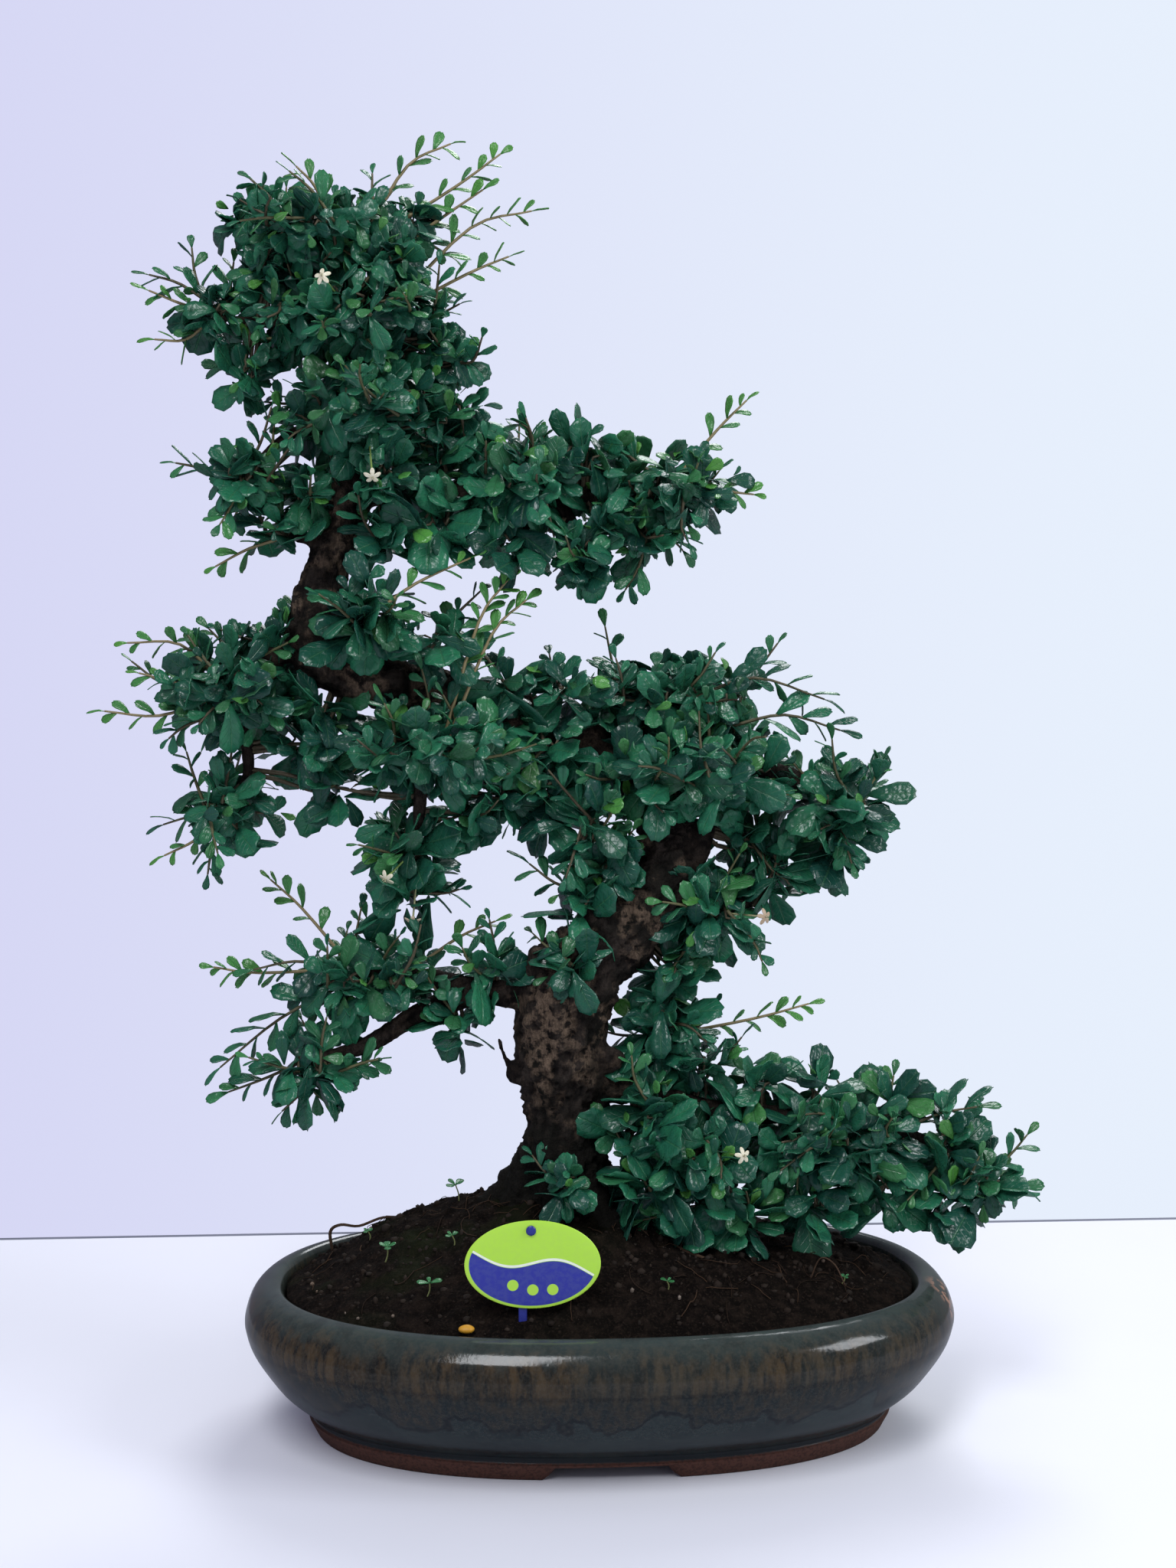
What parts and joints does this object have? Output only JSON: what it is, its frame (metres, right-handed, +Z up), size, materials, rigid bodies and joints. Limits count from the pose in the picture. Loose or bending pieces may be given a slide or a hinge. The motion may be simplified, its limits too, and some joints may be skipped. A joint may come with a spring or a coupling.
{
  "type": "potted fukien tea bonsai",
  "caption": "Small-leaved evergreen bonsai with an S-curved trunk and foliage pads, in an oval glazed pot filled with mounded soil.",
  "frame": {"origin": "on the floor, under the middle of the bounding box of the whole tree and pot", "axes": "+Z up, +X along the pot's long side towards the low right-hand branch, -Y towards the viewer of the tree's front"},
  "size_m": [0.596, 0.304, 0.824],
  "materials": {
    "glaze": "gloss",
    "soil": "matte",
    "bark": "rough",
    "leaf": "gloss",
    "petal": "matte",
    "card": "gloss",
    "stake": "gloss",
    "netting": "matte",
    "pellet": "matte"
  },
  "bodies": {
    "root": {"pot": "glaze", "soil": "soil", "trunk": "bark", "label_card": "card", "label_stake": "stake", "drain_mesh_1": "netting", "drain_mesh_2": "netting", "feed_pellet": "pellet", "flower_1": "petal", "flower_2": "petal", "flower_3": "petal", "flower_4": "petal", "flower_5": "petal", "flower_6": "petal", "foliage_crown_top": "leaf", "foliage_crown_middle": "leaf", "foliage_crown_low": "leaf", "foliage_crown_low_left": "leaf", "foliage_crown_left": "leaf", "foliage_shoulder_inner": "leaf", "foliage_shoulder_outer": "leaf", "foliage_shoulder_drop": "leaf", "foliage_under_crown": "leaf", "foliage_trunk_front": "leaf", "foliage_middle_left": "leaf", "foliage_middle_left_low": "leaf", "foliage_centre": "leaf", "foliage_centre_drop": "leaf", "foliage_right_top": "leaf", "foliage_right_middle": "leaf", "foliage_right_lobe": "leaf", "foliage_bend_right": "leaf", "foliage_bend_left": "leaf", "foliage_low_left": "leaf", "foliage_low_left_tip": "leaf", "foliage_low_right_top": "leaf", "foliage_low_right_inner": "leaf", "foliage_low_right": "leaf", "foliage_low_right_tip": "leaf", "foliage_trunk_base": "leaf"}
  },
  "joints": []
}
